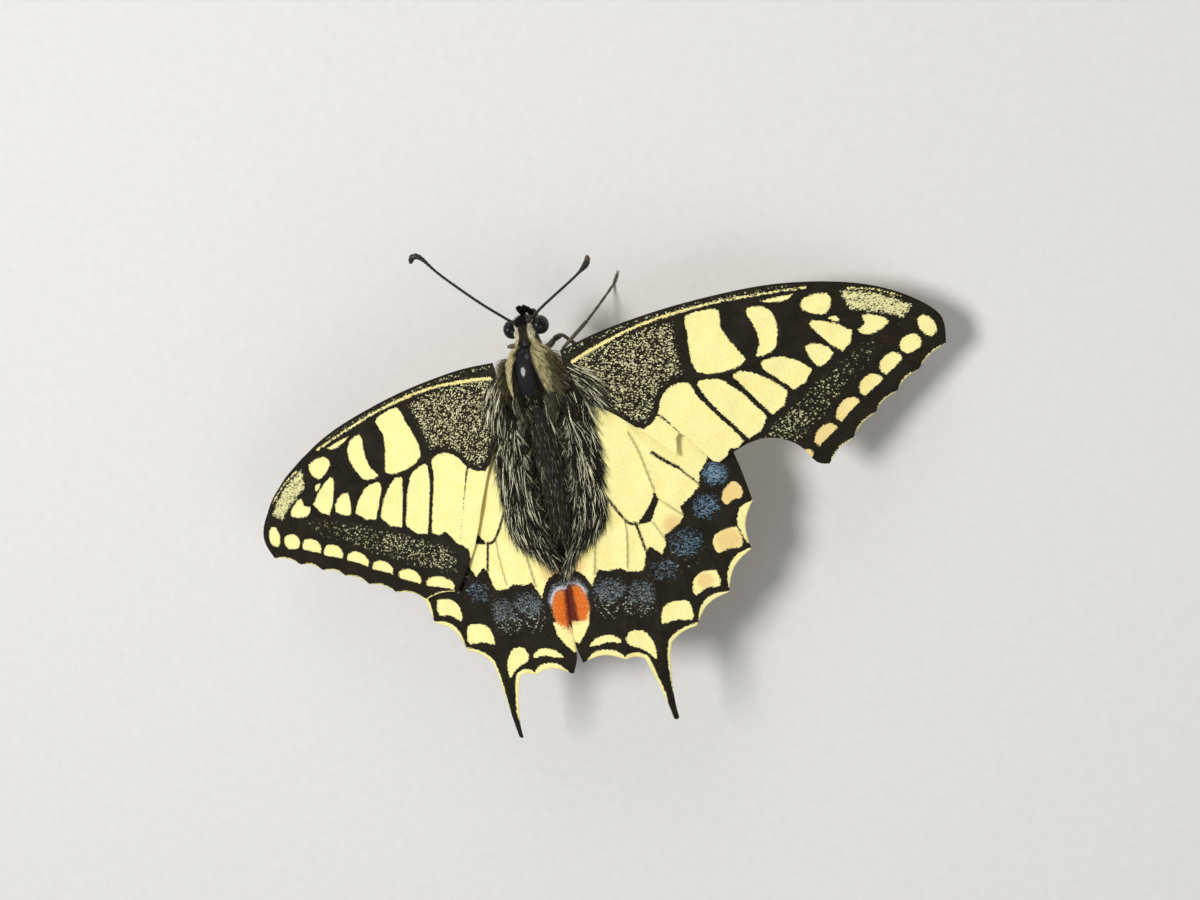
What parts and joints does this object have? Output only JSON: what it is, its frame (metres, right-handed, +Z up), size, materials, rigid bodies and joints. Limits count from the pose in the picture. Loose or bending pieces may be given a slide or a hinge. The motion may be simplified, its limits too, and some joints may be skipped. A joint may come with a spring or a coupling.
{
  "type": "swallowtail butterfly",
  "caption": "Still life-size model of a swallowtail butterfly standing with spread, slightly drooping wings, tailed hindwings and a torn rear corner on its right forewing.",
  "frame": {"origin": "middle of the bounding box's base, on the floor that the six feet stand on", "axes": "+X to the butterfly's right, along the wingspan; +Y towards the head; +Z up"},
  "size_m": [0.08, 0.0538, 0.0201],
  "materials": {
    "wing_scales": "matte wing scales, pale yellow with black veins and borders, blue dusting and an orange eyespot",
    "body_hair": "dark hair with pale yellow-grey sides over a black shell",
    "head_hair": "short black hair with pale yellow stripes",
    "eye": "smooth dark faceted eye",
    "horn_black": "satin black horn",
    "leg_shell": "satin, pale above the ankle and dark on the foot"
  },
  "bodies": {
    "root": {"head": "head_hair", "eye_left": "eye", "eye_right": "eye", "antenna_left": "horn_black", "antenna_right": "horn_black", "palp_left": "head_hair", "palp_right": "head_hair", "proboscis": "horn_black", "thorax": "body_hair", "abdomen": "body_hair", "forewing_left": "wing_scales", "forewing_right": "wing_scales", "hindwing_left": "wing_scales", "hindwing_right": "wing_scales", "leg_front_left": "leg_shell", "leg_front_right": "leg_shell", "leg_middle_left": "leg_shell", "leg_middle_right": "leg_shell", "leg_hind_left": "leg_shell", "leg_hind_right": "leg_shell"}
  },
  "joints": []
}
